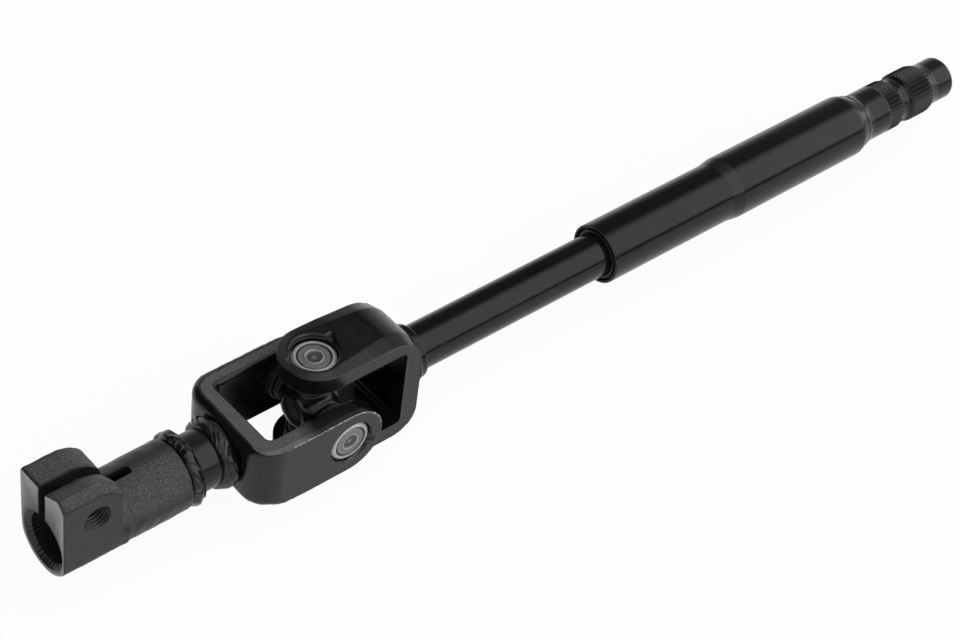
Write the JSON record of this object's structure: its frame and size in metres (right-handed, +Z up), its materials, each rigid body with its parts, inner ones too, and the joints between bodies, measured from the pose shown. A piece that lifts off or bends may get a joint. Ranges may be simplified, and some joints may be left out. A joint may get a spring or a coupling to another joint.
{
  "type": "steering shaft",
  "caption": "Telescopic steering shaft with a universal joint between two strap yokes, a slotted clamp coupler at one end and a serrated stub at the other.",
  "frame": {"origin": "middle of the underside of the whole part, so it lies on z = 0 with the shaft straight", "axes": "+X along the shaft from the clamp coupler to the serrated stub, +Z up along the trunnions of the upper yoke, +Y to the left"},
  "size_m": [0.4066, 0.0431, 0.0484],
  "materials": {
    "gloss_black": "gloss black enamel",
    "semi_gloss_black": "semi-gloss black enamel over pressed steel",
    "cast_black": "semi-gloss black paint over grainy forging",
    "painted_weld": "gloss black paint over weld bead",
    "forged_black": "dark phosphated forging",
    "bare_steel": "drawn satin steel",
    "seal_rubber": "matt black rubber",
    "white_nylon": "natural nylon",
    "bush_plastic": "black bush"
  },
  "bodies": {
    "column_tube": {"outer_tube": "gloss_black", "tube_mouth_bush": "bush_plastic", "tube_end_weld": "painted_weld", "upper_stub": "gloss_black"},
    "sliding_shaft": {"inner_shaft": "gloss_black", "slip_sleeve": "white_nylon", "upper_yoke_collar": "gloss_black", "upper_yoke": "semi_gloss_black", "bearing_cap_top": "bare_steel", "needle_rollers_top": "bare_steel", "trunnion_seal_top": "seal_rubber", "thrust_pad_top": "white_nylon", "bearing_cap_bottom": "bare_steel", "needle_rollers_bottom": "bare_steel", "trunnion_seal_bottom": "seal_rubber", "thrust_pad_bottom": "white_nylon"},
    "cross": {"joint_cross": "forged_black"},
    "lower_end": {"lower_yoke": "semi_gloss_black", "stub_shaft": "gloss_black", "clamp_coupler": "cast_black", "lower_yoke_weld": "painted_weld", "coupler_weld": "painted_weld", "bearing_cap_near": "bare_steel", "needle_rollers_near": "bare_steel", "trunnion_seal_near": "seal_rubber", "thrust_pad_near": "white_nylon", "bearing_cap_far": "bare_steel", "needle_rollers_far": "bare_steel", "trunnion_seal_far": "seal_rubber", "thrust_pad_far": "white_nylon"}
  },
  "joints": [
    {"name": "telescope", "type": "slide", "parent": "column_tube", "child": "sliding_shaft", "axis": [1, 0, 0], "range_m": [-0.005, 0.055]},
    {"name": "upper_yoke_pivot", "type": "hinge", "parent": "sliding_shaft", "child": "cross", "pos_m": [-0.10125, 0, 0.0234], "axis": [0, 0, 1], "range_deg": [-30, 30]},
    {"name": "lower_yoke_pivot", "type": "hinge", "parent": "cross", "child": "lower_end", "pos_m": [-0.10125, 0, 0.0234], "axis": [0, 1, 0], "range_deg": [-30, 30]}
  ]
}
